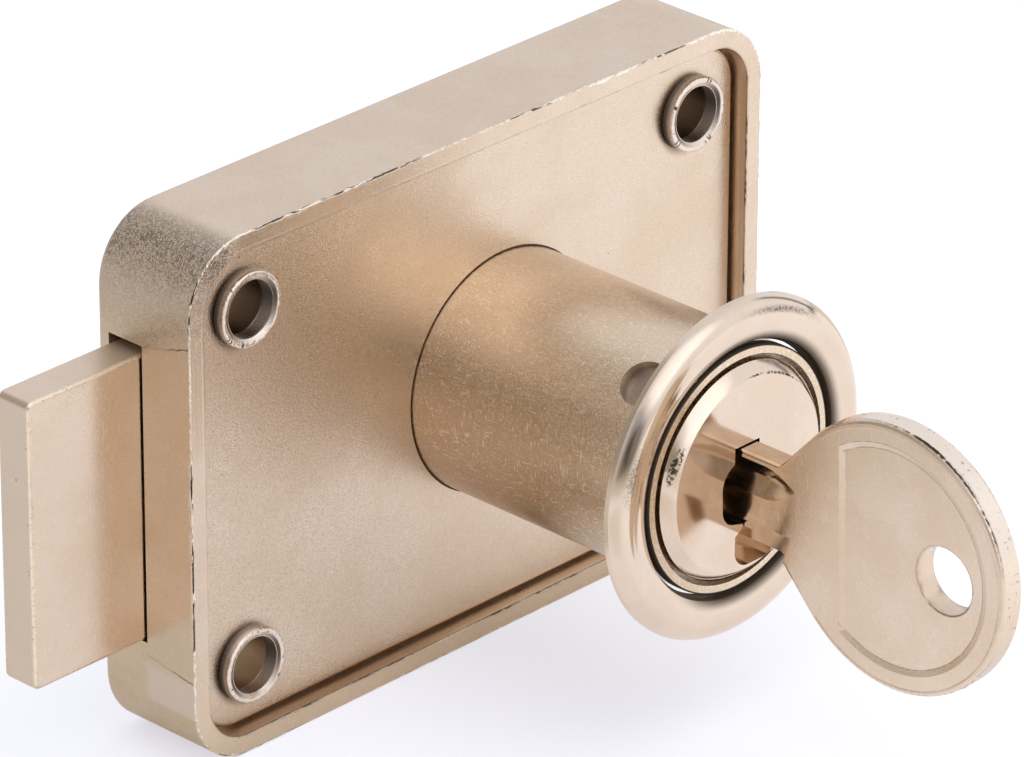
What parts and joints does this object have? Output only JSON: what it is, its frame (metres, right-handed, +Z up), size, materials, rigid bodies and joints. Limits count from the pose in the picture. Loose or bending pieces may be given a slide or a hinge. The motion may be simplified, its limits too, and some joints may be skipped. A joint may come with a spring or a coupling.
{
  "type": "cabinet cylinder lock",
  "caption": "Surface-mounted cabinet lock: a key turns a wafer cylinder and its pin throws a flat bolt sideways out of a die-cast case.",
  "frame": {"origin": "on the barrel's axis, in the plane of the case's rim, which lies against the door", "axes": "+Y into the cabinet, -Y along the barrel to the front, +X away from the bolt's tip, +Z up along the case's short side"},
  "size_m": [0.0667, 0.0545, 0.0392],
  "materials": {
    "case_nickel": "satin nickel plate on die-cast zinc",
    "plate_nickel": "satin nickel plate on pressed steel",
    "barrel_nickel": "turned, nickel plated",
    "rosette_nickel": "polished nickel plate",
    "plug_nickel": "polished nickel plate",
    "bolt_nickel": "satin nickel plate",
    "key_nickel": "nickel plated, tumbled",
    "wafer_brass": "stamped",
    "spring_steel": "drawn wire",
    "inner_steel": "zinc plated"
  },
  "bodies": {
    "root": {"case": "case_nickel", "cover_plate": "plate_nickel", "barrel": "barrel_nickel"},
    "rosette": {"rosette": "rosette_nickel"},
    "plug": {"plug": "plug_nickel", "driver": "inner_steel", "drive_pin": "inner_steel", "retaining_clip": "inner_steel", "wafer_spring_1": "spring_steel", "wafer_spring_2": "spring_steel", "wafer_spring_3": "spring_steel", "wafer_spring_4": "spring_steel", "wafer_spring_5": "spring_steel", "wafer_spring_6": "spring_steel"},
    "bolt": {"bolt": "bolt_nickel"},
    "key": {"key": "key_nickel"},
    "wafer_1": {"wafer_1": "wafer_brass"},
    "wafer_2": {"wafer_2": "wafer_brass"},
    "wafer_3": {"wafer_3": "wafer_brass"},
    "wafer_4": {"wafer_4": "wafer_brass"},
    "wafer_5": {"wafer_5": "wafer_brass"},
    "wafer_6": {"wafer_6": "wafer_brass"}
  },
  "joints": [
    {"name": "plug_turn", "type": "hinge", "parent": "root", "child": "plug", "pos_m": [0, 0, 0], "axis": [0, 1, 0], "range_deg": [0, 180]},
    {"name": "bolt_slide", "type": "slide", "parent": "root", "child": "bolt", "axis": [1, 0, 0], "range_m": [0, 0.0103]},
    {"name": "key_slide", "type": "slide", "parent": "plug", "child": "key", "axis": [0, -1, 0], "range_m": [0, 0.022]},
    {"name": "rosette_slide", "type": "slide", "parent": "root", "child": "rosette", "axis": [0, 1, 0], "range_m": [0, 0.0035]},
    {"name": "wafer_1_slide", "type": "slide", "parent": "plug", "child": "wafer_1", "axis": [0, 0, 1], "range_m": [0, 0.0008], "deforming": ["wafer_spring_1"]},
    {"name": "wafer_2_slide", "type": "slide", "parent": "plug", "child": "wafer_2", "axis": [0, 0, -1], "range_m": [0, 0.0008], "deforming": ["wafer_spring_2"]},
    {"name": "wafer_3_slide", "type": "slide", "parent": "plug", "child": "wafer_3", "axis": [0, 0, 1], "range_m": [0, 0.0008], "deforming": ["wafer_spring_3"]},
    {"name": "wafer_4_slide", "type": "slide", "parent": "plug", "child": "wafer_4", "axis": [0, 0, -1], "range_m": [0, 0.0008], "deforming": ["wafer_spring_4"]},
    {"name": "wafer_5_slide", "type": "slide", "parent": "plug", "child": "wafer_5", "axis": [0, 0, 1], "range_m": [0, 0.0008], "deforming": ["wafer_spring_5"]},
    {"name": "wafer_6_slide", "type": "slide", "parent": "plug", "child": "wafer_6", "axis": [0, 0, -1], "range_m": [0, 0.0008], "deforming": ["wafer_spring_6"]}
  ],
  "couplings": [
    {"joint": "plug_turn", "follows": "bolt_slide", "rad_per_m": 305},
    {"joint": "wafer_1_slide", "follows": "key_slide", "ratio": 0.03636},
    {"joint": "wafer_2_slide", "follows": "key_slide", "ratio": 0.03636},
    {"joint": "wafer_3_slide", "follows": "key_slide", "ratio": 0.03636},
    {"joint": "wafer_4_slide", "follows": "key_slide", "ratio": 0.03636},
    {"joint": "wafer_5_slide", "follows": "key_slide", "ratio": 0.03636},
    {"joint": "wafer_6_slide", "follows": "key_slide", "ratio": 0.03636}
  ]
}
